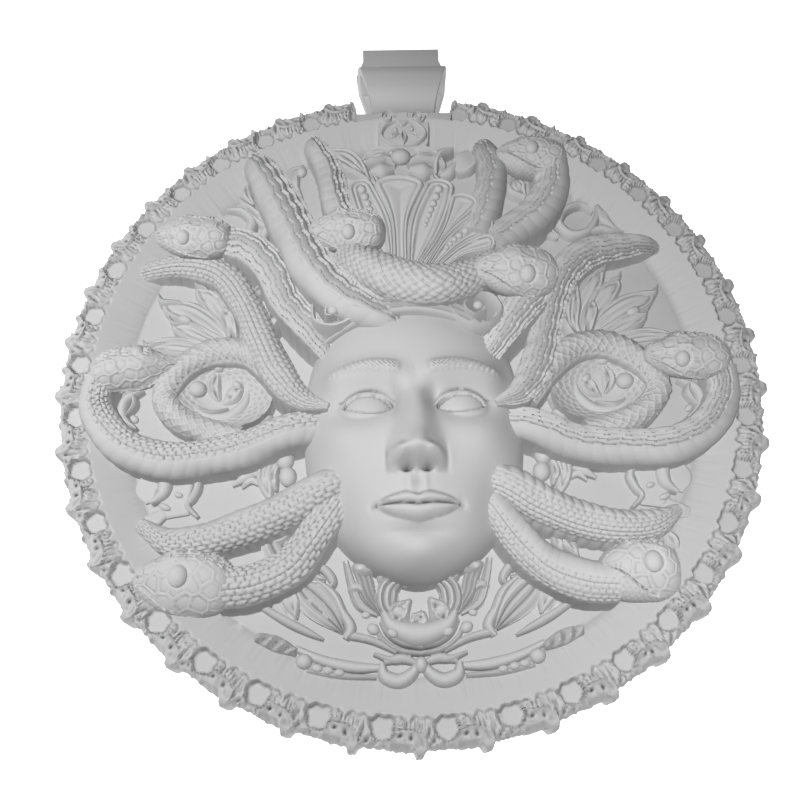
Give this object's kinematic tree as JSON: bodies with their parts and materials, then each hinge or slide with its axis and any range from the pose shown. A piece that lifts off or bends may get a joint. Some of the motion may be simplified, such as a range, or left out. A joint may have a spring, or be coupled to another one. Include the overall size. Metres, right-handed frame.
{
  "type": "gorgon medallion",
  "caption": "Round cast medallion with a gorgon's face among snakes in high relief, a shell-crested rim and a smooth strap bail at the top.",
  "frame": {"origin": "centre of the disc's flat back", "axes": "+Z out of the relief, +Y from the chin towards the bail, +X to the right seen from the front"},
  "size_m": [0.08, 0.091, 0.0169],
  "materials": {
    "cast_relief": "matt light grey casting",
    "bail_strap": "smooth light grey"
  },
  "bodies": {
    "root": {"medallion": "cast_relief", "bail": "bail_strap"}
  },
  "joints": []
}
